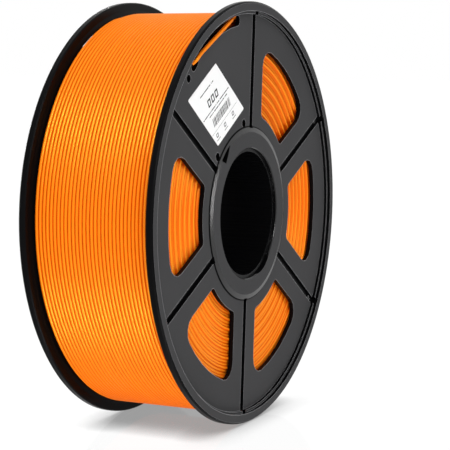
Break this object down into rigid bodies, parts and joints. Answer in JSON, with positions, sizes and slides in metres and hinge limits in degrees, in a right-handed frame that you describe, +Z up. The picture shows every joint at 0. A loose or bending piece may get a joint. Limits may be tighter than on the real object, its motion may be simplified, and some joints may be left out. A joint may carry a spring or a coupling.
{
  "type": "filament spool",
  "caption": "Flanged filament reel with windowed sides and a round bore, wound nearly full, its free end tucked through a slot of the labelled flange.",
  "frame": {"origin": "middle of the bore, halfway between the flanges", "axes": "+Y along the bore towards the rear flange, +Z up as the reel stands on its rims, -Y out of the labelled flange"},
  "size_m": [0.2, 0.067, 0.2],
  "materials": {
    "flange": "moulded polystyrene, spark-textured faces and polished edges",
    "hub": "moulded polystyrene, smooth",
    "filament": "extruded PLA, slightly clear and glossy",
    "label": "satin sticker with thermal print"
  },
  "bodies": {
    "root": {"front_flange": "flange", "rear_flange": "flange", "hub_barrel": "hub", "bore_sleeve": "hub", "filament_pack": "filament", "filament_turns": "filament", "filament_end": "filament", "label": "label"}
  },
  "joints": []
}
